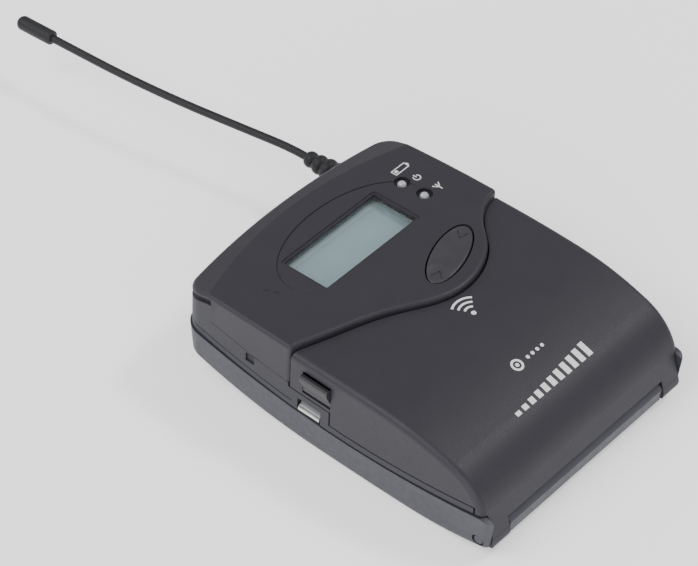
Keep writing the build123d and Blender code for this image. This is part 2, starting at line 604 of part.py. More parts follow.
def switch_body(x, y, base):
    """Low tact switch: square can with a round plunger."""
    can = Pos(x, y, base + 0.6) * Box(4.2, 3.2, 1.2)
    return can + rod_z(0.8, x, y, (base + 1.2, base + 1.3))


def rocker_switches():
    """The two tact switches under the rocker's ends."""
    group = []
    for side in (-1, 1):
        spot = Pos(*ROCKER_CENTRE, 0) * Rot(0, 0, ROCKER_ANGLE) * Pos(side * ROCKER_PRESS_U, 0, 0)
        group.append(switch_body(spot.position.X, spot.position.Y, DISPLAY_BOARD_Z + BOARD_THICK))
    return Compound(group)


def rocker_fulcrum():
    """Ridge on the board that the rocker tips over."""
    place = Pos(*ROCKER_CENTRE, 0) * Rot(0, 0, ROCKER_ANGLE)
    low = DISPLAY_BOARD_Z + BOARD_THICK
    web = Pos(0, 0, (low + ROCKER_PIVOT_Z) / 2) * Box(1.0, 5.0, ROCKER_PIVOT_Z - low)
    foot = Pos(0, 0, low + 0.3) * Box(3.0, 5.0, 0.6)
    return place * (web + foot + Pos(0, 0, ROCKER_PIVOT_Z) * Rot(90, 0, 0) * Cylinder(0.8, 5.0))


# ================================================================ boards
def display_board():
    """Upper board with the display, the lights and the rocker switches."""
    board = extrude(outline(2.4), amount=BOARD_THICK)
    board = Pos(0, 0, DISPLAY_BOARD_Z) * board & wave_slab(3.2, front=True)
    notch = both_sides(box((BAY_SIDE_X - 0.3, 40.0), (-5.0, SIDE_SPLIT_Y + 0.4), (10.0, 20.0)))
    return board - notch


def main_board():
    """Lower board with the radio under its shield."""
    board = Pos(0, 0, MAIN_BOARD_Z) * extrude(outline(3.2), amount=BOARD_THICK)
    board &= box((-40.0, 40.0), (BAY_FRONT_Y + INNER_WALL + 0.4, 37.0), (0.0, 20.0))
    board -= both_sides(box((BAY_SIDE_X - 0.4, 40.0), (-10.0, SIDE_SPLIT_Y + 0.4), (0.0, 20.0)))
    for x, y in SCREW_PLACES:
        board -= rod_z(3.6, x, y, (0.0, 20.0))
        board -= box((min(x, x * 2), max(x, x * 2)), (y - 1.2, y + 1.2), (0.0, 20.0))
    return board


def rf_shield():
    """Folded sheet-metal can over the radio."""
    can = box((-4.0, 20.0), (8.0, 30.0), (MAIN_BOARD_Z + BOARD_THICK, MAIN_BOARD_Z + 3.8))
    can = fillet(can.edges().filter_by(Axis.Z), 1.0)
    return can - box((-3.7, 19.7), (8.3, 29.7), (MAIN_BOARD_Z, MAIN_BOARD_Z + 3.5))


def board_parts():
    """Larger components of the lower board."""
    top = MAIN_BOARD_Z + BOARD_THICK
    group = [box((-19.0, -9.0), (16.0, 26.0), (top, top + 1.2)),
             box((-20.0, -14.0), (6.0, 12.0), (top, top + 1.0)),
             box((-10.0, -6.5), (2.0, 8.0), (top, top + 2.0))]
    group += [rod_z(2.0, x, 2.5, (top, top + 3.4)) for x in (1.0, 6.0)]
    group += [box((x, x + 1.6), (30.5, 31.4), (top, top + 0.8)) for x in (-14.0, -10.5, -7.0)]
    return Compound(group)


def board_header():
    """Pin header that joins the two boards."""
    low = MAIN_BOARD_Z + BOARD_THICK
    return box((-15.0, -6.0), (27.6, 29.8), (low, DISPLAY_BOARD_Z))


def key_board():
    """Narrow board under the deck, behind the two deck buttons."""
    start_y = BAY_FRONT_Y + INNER_WALL + 0.2
    return box((-27.4, 27.4), (start_y, 4.2), (KEY_BOARD_Z, KEY_BOARD_Z + BOARD_THICK))


def key_switches():
    """Tact switches behind the two deck buttons."""
    return Compound([switch_body(x, y, KEY_BOARD_Z + BOARD_THICK) for x, y in KEY_PLACES])


def deck_button(place):
    """Round push button in the deck, with a retaining flange below."""
    x, y = place
    cap = rod_z(KEY_RADIUS, x, y, (KEY_CAP_LOW_Z, DECK_TOP_Z + 0.9))
    cap = fillet(cap.edges().group_by(Axis.Z)[-1], 0.5)
    return cap + rod_z(KEY_RADIUS + 0.8, x, y, (KEY_CAP_LOW_Z, KEY_CAP_LOW_Z + 0.7))


# ================================================================ end face fittings
def jack_socket():
    """Insulated body of the 3.5 mm jack, behind the end wall."""
    body = rod_y(3.2, JACK_X, (27.5, 38.2), FITTING_Z)
    return body - rod_y(JACK_BORE_RADIUS, JACK_X, (28.5, 45.0), FITTING_Z)


def jack_collar():
    """Metal collar with a threaded outside for a locking plug."""
    face = end_face(JACK_X)
    collar = rod_y(JACK_COLLAR_RADIUS, JACK_X, (38.2, face + JACK_PROUD), FITTING_Z)
    for step in range(3):
        y = face + 0.35 + step * 0.55
        ring = rod_y(JACK_COLLAR_RADIUS + 1.0, JACK_X, (y, y + 0.25), FITTING_Z)
        collar -= ring - rod_y(JACK_COLLAR_RADIUS - 0.25, JACK_X, (y - 1.0, y + 1.0), FITTING_Z)
    return collar - rod_y(JACK_BORE_RADIUS, JACK_X, (30.0, 50.0), FITTING_Z)


def end_face(x):
    """Y of the antenna end's outer face at x."""
    return ANTENNA_END_Y - x * x / (2 * ANTENNA_END_RADIUS)


def mute_housing():
    """Slide switch body behind the end wall."""
    middle = MUTE_X + MUTE_TRAVEL / 2
    body = box((middle - 5.0, middle + 5.0), (32.0, 35.6), (FITTING_Z - 2.4, FITTING_Z + 2.4))
    return body - box((middle - 4.0, middle + 4.0), (34.0, 36.0), (FITTING_Z - 1.4, FITTING_Z + 1.4))


def mute_slider():
    """Ribbed slider of the mute switch."""
    half = 1.9
    height = 1.6
    stem = box((MUTE_X - 1.2, MUTE_X + 1.2), (34.4, 38.2), (FITTING_Z - 1.0, FITTING_Z + 1.0))
    head = box((MUTE_X - half, MUTE_X + half), (38.2, 40.2), (FITTING_Z - height, FITTING_Z + height))
    for step in (-1, 0, 1):
        x = MUTE_X + step * 1.1
        head += box((x - 0.25, x + 0.25), (40.2, 40.7), (FITTING_Z - height + 0.2, FITTING_Z + height - 0.2))
    return stem + head


# ================================================================ antenna
def antenna_socket():
    """Feed socket with a round seat for the boot's ball-shaped root."""
    cup = rod_y(ANTENNA_ROOT_RADIUS + 0.4, ANTENNA_X, (33.0, 38.5), FITTING_Z)
    cup -= rod_y(0.8, ANTENNA_X, (30.0, 40.0), FITTING_Z)
    return cup - Pos(ANTENNA_X, ANTENNA_ROOT_Y, FITTING_Z) * Sphere(ANTENNA_ROOT_RADIUS + 0.05)


def antenna_boot():
    """Rubber bend relief of rounded ribs on a ball-shaped root."""
    length = BOOT_END_Y - ANTENNA_ROOT_Y
    pitch = (length - BOOT_RIB_START) / BOOT_RIBS
    leave = BOOT_RADII[0] - BOOT_GROOVE
    last = (leave, math.sqrt(ANTENNA_ROOT_RADIUS ** 2 - leave ** 2))
    profile = [ThreePointArc((0.0, -ANTENNA_ROOT_RADIUS), (ANTENNA_ROOT_RADIUS, 0.0), last)]
    for index, radius in enumerate(BOOT_RADII):
        low = BOOT_RIB_START + index * pitch
        foot = (radius - BOOT_GROOVE, low + 0.25)
        end = (radius - BOOT_GROOVE - 0.12, low + pitch)
        profile.append(Line(last, foot))
        profile.append(ThreePointArc(foot, (radius, low + pitch * 0.5), end))
        last = end
    profile.append(Line(last, (0.0, length)))
    profile.append(Line((0.0, length), (0.0, -ANTENNA_ROOT_RADIUS)))
    boot = Pos(ANTENNA_X, ANTENNA_ROOT_Y, FITTING_Z) * revolve(make_face(profile), Axis.Y)
    return boot - rod_y(WHIP_RADIUS + 0.03, ANTENNA_X, (WHIP_ROUTE[0][1], 60.0), FITTING_Z)


def whip_path():
    """Gently bowed line of the whip."""
    points = [(x, y, FITTING_Z) for x, y in WHIP_ROUTE]
    return FilletPolyline(*points, radius=list(WHIP_BENDS))


def antenna_whip():
    """Coated steel whip."""
    path = whip_path()
    start = Plane(origin=path @ 0, z_dir=path % 0)
    return sweep(start * Circle(WHIP_RADIUS), path=path)


def antenna_tip():
    """Long round-ended cap pushed over the end of the whip."""
    path = whip_path()
    base = Plane(origin=path @ 1 - (path % 1) * 2.0, z_dir=path % 1)
    cap = Pos(0, 0, TIP_LENGTH / 2) * Cylinder(TIP_RADIUS, TIP_LENGTH)
    cap = fillet(cap.edges().group_by(Axis.Z)[-1], TIP_RADIUS - 0.15)
    cap = fillet(cap.edges().group_by(Axis.Z)[0], 0.45)
    hole = Pos(0, 0, 1.0) * Cylinder(WHIP_RADIUS + 0.01, 2.02)
    return base * (cap - hole)


# ================================================================ battery bay
def cell(y, direction):
    """Round cell with a raised positive pole."""
    half = CELL_LENGTH / 2
    body = rod_x(CELL_RADIUS, (-half, half), y, CELL_Z)
    body = fillet(body.edges(), 0.5)
    pole = rod_x(2.6, (half - 0.5, half + 1.0), y, CELL_Z)
    return body + (pole if direction > 0 else mirror(pole, about=Plane.YZ))


def battery_tray():
    """Cradle floor under the two cells."""
    tray = box((-BAY_SIDE_X + 0.1, BAY_SIDE_X - 0.1), (BAY_REAR_Y + 2.3, BAY_FRONT_Y - 0.1), (0.0, 7.4))
    tray &= above_back(WALL + 0.1)
    for y in CELL_Y:
        tray -= rod_x(CELL_RADIUS + 0.12, (-30.0, 30.0), y, CELL_Z)
    ends = both_sides(box((CELL_LENGTH / 2 + 0.2, 30.0), (-50.0, 0.0), (3.2, 20.0)))
    return tray - ends


def contact_plate(y, x_face, x_wall):
    """Sheet contact against the bay's side wall, with a sprung finger towards the cell."""
    plate = box((x_wall - 0.4, x_wall), (y - 4.6, y + 4.6), (4.4, 11.6))
    arc = ThreePointArc((x_wall - 0.4, y - 3.8), (x_face + 0.02, y), (x_wall - 0.4, y + 3.8))
    inner = ThreePointArc((x_wall - 0.4, y - 3.2), (x_face + 0.42, y), (x_wall - 0.4, y + 3.2))
    ends = [Line((x_wall - 0.4, y - 3.8), (x_wall - 0.4, y - 3.2)),
            Line((x_wall - 0.4, y + 3.8), (x_wall - 0.4, y + 3.2))]
    finger = Pos(0, 0, 7.8) * extrude(make_face([arc, inner] + ends), amount=3.4)
    return plate + finger


def battery_contacts(side):
    """Contacts on one side of the bay, one for each cell, joined on the left by a bridge."""
    wall = BAY_SIDE_X - 0.05
    half = CELL_LENGTH / 2
    faces = {CELL_Y[0]: half + (1.0 if side > 0 else 0.0), CELL_Y[1]: half + (0.0 if side > 0 else 1.0)}
    group = [contact_plate(y, face, wall) for y, face in faces.items()]
    if side < 0:
        group.append(box((wall - 0.4, wall), (CELL_Y[0], CELL_Y[1]), (5.0, 7.0)))
        return mirror(group[0] + group[1] + group[2], about=Plane.YZ)
    return Compound(group)


# ================================================================ small pieces
def charge_contact(side):
    """Sprung charging contact: its root stands behind the wall, its lip bows out of the side window."""
    root = CONTACT_ROOT_X + 0.1
    top = CONTACT_Z[1] + 2.2
    outer = [Line((root + 0.35, top), (root + 0.35, 11.9)),
             Line((root + 0.35, 11.9), (31.3, 10.2)),
             ThreePointArc((31.3, 10.2), (31.95, 9.3), (31.6, 8.42))]
    inner = [Line((root, top), (root, 11.7)),
             Line((root, 11.7), (31.0, 10.0)),
             ThreePointArc((31.0, 10.0), (31.58, 9.3), (31.3, 8.6))]
    ends = [Line((root + 0.35, top), (root, top)), Line((31.6, 8.42), (31.3, 8.6))]
    section = Plane.XZ * make_face(outer + inner + ends)
    strip = Pos(0, CONTACT_Y[0] + 0.3, 0) * extrude(section, amount=-(CONTACT_Y[1] - CONTACT_Y[0] - 0.6))
    return strip if side > 0 else mirror(strip, about=Plane.YZ)


def housing_screws():
    """Four screws from the back."""
    group = []
    for x, y in SCREW_PLACES:
        seat = back_height(y) + 1.6
        screw = rod_z(2.1, x, y, (seat - 1.1, seat)) + rod_z(0.85, x, y, (seat, SCREW_TOP_Z))
        recess = Pos(x, y, seat - 1.1) * extrude(RegularPolygon(0.95, 6), amount=0.7)
        group.append(screw - recess)
    return Compound(group)


def type_plate():
    """Blank plate in the recess of the back."""
    plate = box((-17.0, 17.0), (-18.5, -6.0), (0.08, 0.38))
    return fillet(plate.edges().filter_by(Axis.Z), 0.6)


PIECES = {
    "rear_shell": rear_shell,
    "mid_frame": mid_frame,
    "front_panel": front_panel,
    "battery_cover": battery_cover,
    "cover_pad": cover_pad,
    "latch_tab_left": lambda: latch_tab(-1),
    "latch_tab_right": lambda: latch_tab(1),
    "hinge_pin_left": lambda: hinge_pin(-1),
    "hinge_pin_right": lambda: hinge_pin(1),
    "display_window": display_window,
    "lcd_glass": lcd_glass,
    "lcd_holder": lcd_holder,
    "power_light": lambda: status_light(LIGHT_PLACES[0]),
    "signal_light": lambda: status_light(LIGHT_PLACES[1]),
    "rocker_button": rocker_button,
    "rocker_switches": rocker_switches,
    "rocker_fulcrum": rocker_fulcrum,
    "display_board": display_board,
    "main_board": main_board,
    "rf_shield": rf_shield,
    "board_parts": board_parts,
    "board_header": board_header,
    "key_board": key_board,
    "key_switches": key_switches,
    "set_button": lambda: deck_button(KEY_PLACES[0]),
    "power_button": lambda: deck_button(KEY_PLACES[1]),
    "jack_socket": jack_socket,
    "jack_collar": jack_collar,
    "mute_housing": mute_housing,
    "mute_slider": mute_slider,
    "antenna_socket": antenna_socket,
    "antenna_boot": antenna_boot,
    "antenna_whip": antenna_whip,
    "antenna_tip": antenna_tip,
    "battery_tray": battery_tray,
    "battery_cell_rear": lambda: cell(CELL_Y[0], 1),
    "battery_cell_front": lambda: cell(CELL_Y[1], -1),
    "battery_contacts_left": lambda: battery_contacts(-1),
    "battery_contacts_right": lambda: battery_contacts(1),
    "charge_contact_left": lambda: charge_contact(-1),
    "charge_contact_right": lambda: charge_contact(1),
    "housing_screws": housing_screws,
    "type_plate": type_plate,
}


def main():
    """Write one STEP file per piece."""
    os.makedirs("parts", exist_ok=True)
    for name, make in PIECES.items():
        export_step(make(), f"parts/{name}.step")


if __name__ == "__main__":
    main()
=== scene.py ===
import bpy
import bmesh
import math
from mathutils import Matrix, Vector
from mathutils.bvhtree import BVHTree


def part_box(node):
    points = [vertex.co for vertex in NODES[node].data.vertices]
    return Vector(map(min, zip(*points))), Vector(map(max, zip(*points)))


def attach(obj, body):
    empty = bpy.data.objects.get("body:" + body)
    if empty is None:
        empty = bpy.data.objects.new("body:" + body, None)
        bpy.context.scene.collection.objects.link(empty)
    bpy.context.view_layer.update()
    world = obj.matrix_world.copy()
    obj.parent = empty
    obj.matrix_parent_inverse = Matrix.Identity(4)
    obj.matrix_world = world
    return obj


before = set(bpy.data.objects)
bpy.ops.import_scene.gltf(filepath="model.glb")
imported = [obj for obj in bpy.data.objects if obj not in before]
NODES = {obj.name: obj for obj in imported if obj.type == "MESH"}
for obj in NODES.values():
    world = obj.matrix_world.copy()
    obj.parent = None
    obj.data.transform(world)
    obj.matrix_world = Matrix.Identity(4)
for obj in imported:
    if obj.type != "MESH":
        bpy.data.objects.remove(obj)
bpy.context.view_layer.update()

MM = 0.001

# ------------------------------------------------------------------------------------ camera and light
CAMERA_PLACE = Vector((-0.3762, -0.2842, 0.4799))
CAMERA_RIGHT = Vector((0.65376, -0.75606, 0.03129))
CAMERA_UP = Vector((0.51097, 0.47158, 0.71869))
CAMERA_BACK = Vector((-0.55813, -0.45386, 0.69462))
CAMERA_CLIP = (0.01, 20.0)
CAMERA_LENS = 169.2         # both in millimetres
SENSOR_WIDTH = 36.0

# name, place, what it points at, size, power, colour
LAMPS = (
    ("lamp_key", (-0.70, 0.35, 0.95), (0.0, 0.0, 0.0), (0.8, 0.6), 9.0, (1.0, 0.99, 0.98)),
    ("lamp_side", (-1.0, -0.55, 0.35), (0.0, 0.0, 0.01), (0.9, 0.5), 6.0, (0.95, 0.97, 1.0)),
    ("lamp_rear", (0.15, -0.95, 0.55), (0.0, -0.03, 0.0), (0.8, 0.5), 0.7, (1.0, 1.0, 1.0)),
    ("lamp_edge", (0.60, -0.32, 0.98), (0.0, -0.01, 0.0), (0.25, 0.2), 5.0, (1.0, 1.0, 1.0)),
    ("lamp_end", (0.0, 1.0, 0.5), (0.0, 0.02, 0.0), (0.7, 0.4), 1.2, (1.0, 1.0, 1.0)),
)
SKY = (0.93, 0.94, 0.96)
SKY_STRENGTH = 0.62
FLOOR_HALF = 2.4
FLOOR_DROP = 0.02 * MM      # keeps the floor clear of the flat land of the back
FLOOR_COLOUR = (0.94, 0.94, 0.94)
FLOOR_GLOW = 0.55           # lifts the object's shaded sides, as a white table does


def add_camera():
    """Camera with a long lens, looking down on the latch side and the hinge end."""
    data = bpy.data.cameras.new("camera")
    data.sensor_fit = "HORIZONTAL"
    data.sensor_width = SENSOR_WIDTH
    data.lens = CAMERA_LENS
    data.clip_start, data.clip_end = CAMERA_CLIP
    camera = bpy.data.objects.new("camera", data)
    bpy.context.scene.collection.objects.link(camera)
    turn = Matrix((CAMERA_RIGHT, CAMERA_UP, CAMERA_BACK)).transposed()
    camera.matrix_world = Matrix.Translation(CAMERA_PLACE) @ turn.to_4x4()
    bpy.context.scene.camera = camera


def add_lamps():
    """Soft studio panels round the object and an even pale surround."""
    for name, place, target, size, power, colour in LAMPS:
        data = bpy.data.lights.new(name, "AREA")
        data.shape = "RECTANGLE"
        data.size, data.size_y = size
        data.energy = power
        data.color = colour
        lamp = bpy.data.objects.new(name, data)
        bpy.context.scene.collection.objects.link(lamp)
        lamp.location = place
        lamp.rotation_euler = (Vector(target) - Vector(place)).to_track_quat("-Z", "Y").to_euler()
    world = bpy.data.worlds.new("surround")
    bpy.context.scene.world = world
    world.use_nodes = True
    sky = world.node_tree.nodes["Background"]
    sky.inputs["Color"].default_value = (*SKY, 1.0)
    sky.inputs["Strength"].default_value = SKY_STRENGTH


def add_floor():
    """Plain pale floor that the object lies on."""
    mesh = bpy.data.meshes.new("floor")
    half = FLOOR_HALF
    square = ((-half, -half), (half, -half), (half, half), (-half, half))
    corners = [(x, y, -FLOOR_DROP) for x, y in square]
    mesh.from_pydata(corners, [], [(0, 1, 2, 3)])
    floor = bpy.data.objects.new("floor", mesh)
    bpy.context.scene.collection.objects.link(floor)
    paper = Surface("floor_paper", roughness=0.9)
    paper.colour(paper.blend(paper.noise(per_metre=6.0), FLOOR_COLOUR, shade(FLOOR_COLOUR, 1.02)))
    paper.shader.inputs["Emission Color"].default_value = (*FLOOR_COLOUR, 1.0)
    paper.shader.inputs["Emission Strength"].default_value = FLOOR_GLOW
    mesh.materials.append(paper.material)


# ------------------------------------------------------------------------------------ materials
NOISE_MIDDLE = (0.3, 0.7)   # where most of a noise's values lie


def shade(colour, factor):
    """A colour made lighter or darker."""
    return [min(1.0, c * factor) for c in colour]


class Surface:
    """A procedural material: one principled shader fed by patterns placed in the object's own space."""

    def __init__(self, name, roughness, **sockets):
        self.material = bpy.data.materials.new(name)
        self.material.use_nodes = True
        self.nodes = self.material.node_tree.nodes
        self.links = self.material.node_tree.links
        self.shader = self.nodes["Principled BSDF"]
        self.shader.inputs["Roughness"].default_value = roughness
        for socket, value in sockets.items():
            title = socket.replace("_", " ").title().replace("Ior", "IOR")
            self.shader.inputs[title].default_value = value
        self.place = self.nodes.new("ShaderNodeTexCoord").outputs["Object"]
        self.relief = None

    def link(self, source, target):
        self.links.new(source, target)

    def stretched(self, scale):
        """Object coordinates scaled differently along each axis."""
        mapping = self.nodes.new("ShaderNodeMapping")
        mapping.inputs["Scale"].default_value = scale
        self.link(self.place, mapping.inputs["Vector"])
        return mapping.outputs["Vector"]

    def noise(self, per_metre, detail=2.0, rough=0.5, place=None):
        """Soft cloudy pattern with features of about one over per_metre."""
        node = self.nodes.new("ShaderNodeTexNoise")
        node.inputs["Scale"].default_value = per_metre
        node.inputs["Detail"].default_value = detail
        node.inputs["Roughness"].default_value = rough
        self.link(place or self.place, node.inputs["Vector"])
        return node.outputs["Fac"]

    def cells(self, per_metre, feature="F1"):
        """Cellular pattern, as of pitted or foamed surfaces."""
        node = self.nodes.new("ShaderNodeTexVoronoi")
        node.feature = feature
        node.inputs["Scale"].default_value = per_metre
        self.link(self.place, node.inputs["Vector"])
        return node.outputs["Distance"]

    def span(self, value, low, high, to_low=0.0, to_high=1.0):
        """Value between low and high, stretched to a new span."""
        node = self.nodes.new("ShaderNodeMapRange")
        limits = {"From Min": low, "From Max": high, "To Min": to_low, "To Max": to_high}
        for socket, number in limits.items():
            node.inputs[socket].default_value = number
        self.link(value, node.inputs["Value"])
        return node.outputs["Result"]

    def swing(self, noise, to_low=0.0, to_high=1.0):
        """The middle of a noise's range, stretched to a new span."""
        return self.span(noise, *NOISE_MIDDLE, to_low, to_high)

    def maths(self, operation, first, second):
        """Sum, product or comparison of two values, either of which may be a plain number."""
        node = self.nodes.new("ShaderNodeMath")
        node.operation = operation
        for socket, value in zip(node.inputs, (first, second)):
            if isinstance(value, (int, float)):
                socket.default_value = value
            else:
                self.link(value, socket)
        return node.outputs["Value"]

    def axis(self, name):
        """One of the object coordinates."""
        node = self.nodes.new("ShaderNodeSeparateXYZ")
        self.link(self.place, node.inputs["Vector"])
        return node.outputs[name]

    def blend(self, share, first, second):
        """Colour between two others, each a colour or another blend."""
        node = self.nodes.new("ShaderNodeMix")
        node.data_type = "RGBA"
        self.link(share, node.inputs["Factor"])
        for socket, value in zip((node.inputs[6], node.inputs[7]), (first, second)):
            if isinstance(value, bpy.types.NodeSocket):
                self.link(value, socket)
            else:
                socket.default_value = (*value, 1.0)
        return node.outputs[2]

    def mottle(self, noise, colour, darker, lighter):
        """A colour that wanders between two shades of itself with a noise."""
        return self.blend(self.swing(noise), shade(colour, darker), shade(colour, lighter))

    def colour(self, value):
        self.link(value, self.shader.inputs["Base Color"])

    def gloss(self, value):
        self.link(value, self.shader.inputs["Roughness"])

    def bump(self, height, depth):
        """Raise and sink the surface by height, which spans 0 to 1, times depth in metres."""
        node = self.nodes.new("ShaderNodeBump")
        node.inputs["Strength"].default_value = 1.0
        node.inputs["Distance"].default_value = depth
        self.link(height, node.inputs["Height"])
        if self.relief is not None:
            self.link(self.relief, node.inputs["Normal"])
        self.relief = node.outputs["Normal"]
        self.link(self.relief, self.shader.inputs["Normal"])

    def round_edges(self, radius):
        """Catch light along edges as if they were rounded."""
        node = self.nodes.new("ShaderNodeBevel")
        node.samples = 6
        node.inputs["Radius"].default_value = radius
        self.relief = node.outputs["Normal"]
        self.link(self.relief, self.shader.inputs["Normal"])


def textured_plastic(name, colour, roughness, grain_mm=0.3, depth_mm=0.012, edge_mm=0.14):
    """Moulded plastic from a spark-eroded tool: fine even grain, slight cloudiness."""
    surface = Surface(name, roughness, specular_ior_level=0.3)
    surface.round_edges(edge_mm * MM)
    grain = surface.noise(1.0 / (grain_mm * MM), detail=3.0, rough=0.65)
    pits = surface.cells(1.0 / (grain_mm * 1.7 * MM))
    cloud = surface.noise(170.0, detail=3.0)
    speck = surface.span(grain, 0.60, 0.72)
    base = surface.blend(surface.span(cloud, 0.35, 0.65), shade(colour, 0.97), shade(colour, 1.03))
    surface.colour(surface.blend(surface.maths("MULTIPLY", speck, 0.35), base, shade(colour, 1.75)))
    surface.gloss(surface.swing(surface.noise(2400.0, detail=4.0), roughness - 0.04, roughness + 0.06))
    surface.bump(grain, depth_mm * MM)
    surface.bump(surface.span(pits, 0.0, 0.6), depth_mm * 0.5 * MM)
    return surface.material


def smooth_plastic(name, colour, roughness, edge_mm=0.1):
    """Plain moulded plastic with faint flow marks and handling haze."""
    surface = Surface(name, roughness, specular_ior_level=0.5)
    surface.round_edges(edge_mm * MM)
    haze = surface.noise(240.0, detail=5.0, rough=0.6)
    surface.colour(surface.mottle(haze, colour, 0.92, 1.1))
    surface.gloss(surface.swing(haze, roughness - 0.04, roughness + 0.06))
    surface.bump(surface.noise(4200.0, detail=2.0), 0.004 * MM)
    return surface.material


def coated_metal(name, colour, roughness):
    """Die-cast shell under a thin matt coating, with soft orange peel and a fine grain."""
    surface = Surface(name, roughness, specular_ior_level=0.5)
    surface.round_edges(0.16 * MM)
    peel = surface.noise(700.0, detail=2.0)
    grain = surface.noise(3600.0, detail=3.0, rough=0.6)
    cloud = surface.noise(120.0, detail=3.0)
    base = surface.mottle(cloud, colour, 0.92, 1.08)
    surface.colour(surface.blend(surface.span(grain, 0.58, 0.75, 0.0, 0.4), base, shade(colour, 1.7)))
    surface.gloss(surface.swing(peel, roughness - 0.05, roughness + 0.06))
    surface.bump(peel, 0.01 * MM)
    surface.bump(grain, 0.01 * MM)
    return surface.material


def rubber(name, colour):
    """Moulded rubber with a dull bloom."""
    surface = Surface(name, 0.55, specular_ior_level=0.35)
    bloom = surface.noise(420.0, detail=4.0, rough=0.6)
    surface.colour(surface.blend(surface.span(bloom, 0.35, 0.7), colour, shade(colour, 1.7)))
    surface.gloss(surface.swing(bloom, 0.48, 0.64))
    surface.bump(surface.noise(5200.0, detail=2.0), 0.006 * MM)
    return surface.material


def drawn_metal(name, colour, roughness, grain=(300.0, 14000.0, 300.0)):
    """Plated or rolled metal with a drawn grain along one axis."""
    surface = Surface(name, roughness, metallic=1.0)
    surface.round_edges(0.06 * MM)
    lines = surface.noise(1.0, detail=3.0, rough=0.7, place=surface.stretched(grain))
    stain = surface.noise(380.0, detail=4.0)
    surface.colour(surface.blend(surface.span(stain, 0.35, 0.7), colour, shade(colour, 0.84)))
    surface.gloss(surface.swing(lines, roughness - 0.06, roughness + 0.1))
    surface.bump(lines, 0.004 * MM)
    return surface.material


def contact_metal(name, bright, dull, lip_z=9.1 * MM, painted_shade_z=9.6 * MM):
    """Plated contact strip: its own bright metal at the lip, painted shade above it that stands in for a
    dark reflection.
    """
    surface = Surface(name, 0.3, metallic=1.0)
    surface.round_edges(0.05 * MM)
    ragged = surface.maths("MULTIPLY", surface.noise(900.0), 0.5 * MM)
    height = surface.maths("SUBTRACT", surface.axis("Z"), ragged)
    # painted shade: above the lip the colour goes from bright to dull, a painted dark reflection on the
    # upper part
    painted_shade_share = surface.span(height, lip_z, painted_shade_z)
    surface.colour(surface.blend(painted_shade_share, bright, dull))
    surface.gloss(surface.span(painted_shade_share, 0.0, 1.0, 0.2, 0.42))
    lines = surface.noise(1.0, detail=3.0, place=surface.stretched((300.0, 9000.0, 300.0)))
    surface.bump(lines, 0.003 * MM)
    return surface.material


def foam(name, colour):
    """Closed-cell foam."""
    surface = Surface(name, 0.95, specular_ior_level=0.2)
    pores = surface.cells(2300.0)
    surface.colour(surface.blend(surface.span(pores, 0.1, 0.6), shade(colour, 1.4), shade(colour, 0.6)))
    surface.bump(surface.span(pores, 0.0, 0.7), 0.12 * MM)
    return surface.material


def circuit_board(name, mask, copper):
    """Solder mask over faint tracks, with dark dots of painted shade where drilled holes would be."""
    surface = Surface(name, 0.35, specular_ior_level=0.5)
    tracks = surface.nodes.new("ShaderNodeTexBrick")
    tracks.inputs["Scale"].default_value = 240.0
    tracks.inputs["Mortar Size"].default_value = 0.06
    tracks.inputs["Color1"].default_value = (0.0, 0.0, 0.0, 1.0)
    tracks.inputs["Color2"].default_value = (0.0, 0.0, 0.0, 1.0)
    tracks.inputs["Mortar"].default_value = (1.0, 1.0, 1.0, 1.0)
    surface.link(surface.place, tracks.inputs["Vector"])
    # painted shade: near-black dots stand in for the dark inside of drilled holes
    painted_hole_shade = surface.span(surface.cells(420.0), 0.12, 0.16)
    base = surface.blend(tracks.outputs["Fac"], mask, copper)
    surface.colour(surface.blend(painted_hole_shade, (0.01, 0.02, 0.01), base))
    surface.bump(tracks.outputs["Fac"], 0.02 * MM)
    return surface.material


def display_face(name, colour, seal, seal_x=1.9 * MM, seal_y=1.6 * MM, soft=0.1 * MM):
    """Reflective liquid-crystal face: even grey-green field, paler seal along two of its sides."""
    surface = Surface(name, 0.32, specular_ior_level=0.4)
    low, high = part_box("lcd_glass")
    in_x = surface.span(surface.axis("X"), low.x + seal_x, low.x + seal_x + soft, 1.0, 0.0)
    in_y = surface.span(surface.axis("Y"), high.y - seal_y - soft, high.y - seal_y)
    field = surface.mottle(surface.noise(90.0, detail=3.0), colour, 0.94, 1.06)
    surface.colour(surface.blend(surface.maths("MAXIMUM", in_x, in_y), field, seal))
    surface.bump(surface.noise(2600.0, detail=1.0), 0.002 * MM)
    return surface.material


def clear_window(name):
    """Clear moulded lens: see-through, with reflections that grow towards grazing views."""
    surface = Surface(name, 0.05)
    clear = surface.nodes.new("ShaderNodeBsdfTransparent")
    clear.inputs["Color"].default_value = (0.93, 0.95, 0.95, 1.0)
    glance = surface.nodes.new("ShaderNodeBsdfGlossy")
    glance.inputs["Roughness"].default_value = 0.06
    facing = surface.nodes.new("ShaderNodeLayerWeight")
    facing.inputs["Blend"].default_value = 0.5
    grazing = surface.maths("POWER", facing.outputs["Facing"], 5.0)
    share = surface.span(grazing, 0.0, 1.0, 0.04, 1.0)
    ripple = surface.nodes.new("ShaderNodeBump")
    ripple.inputs["Distance"].default_value = 0.004 * MM
    surface.link(surface.noise(300.0, detail=2.0), ripple.inputs["Height"])
    surface.link(ripple.outputs["Normal"], glance.inputs["Normal"])
    mix = surface.nodes.new("ShaderNodeMixShader")
    surface.link(share, mix.inputs["Fac"])
    surface.link(clear.outputs["BSDF"], mix.inputs[1])
    surface.link(glance.outputs["BSDF"], mix.inputs[2])
    surface.nodes.remove(surface.shader)
    surface.link(mix.outputs["Shader"], surface.nodes["Material Output"].inputs["Surface"])
    return surface.material


def frosted_lamp(name, colour):
    """Unlit clear lamp dome with a milky core."""
    surface = Surface(name, 0.16, specular_ior_level=0.6, coat_weight=0.6, coat_roughness=0.05)
    core = surface.noise(1600.0, detail=2.0)
    surface.colour(surface.mottle(core, colour, 0.82, 1.0))
    surface.bump(core, 0.006 * MM)
    return surface.material


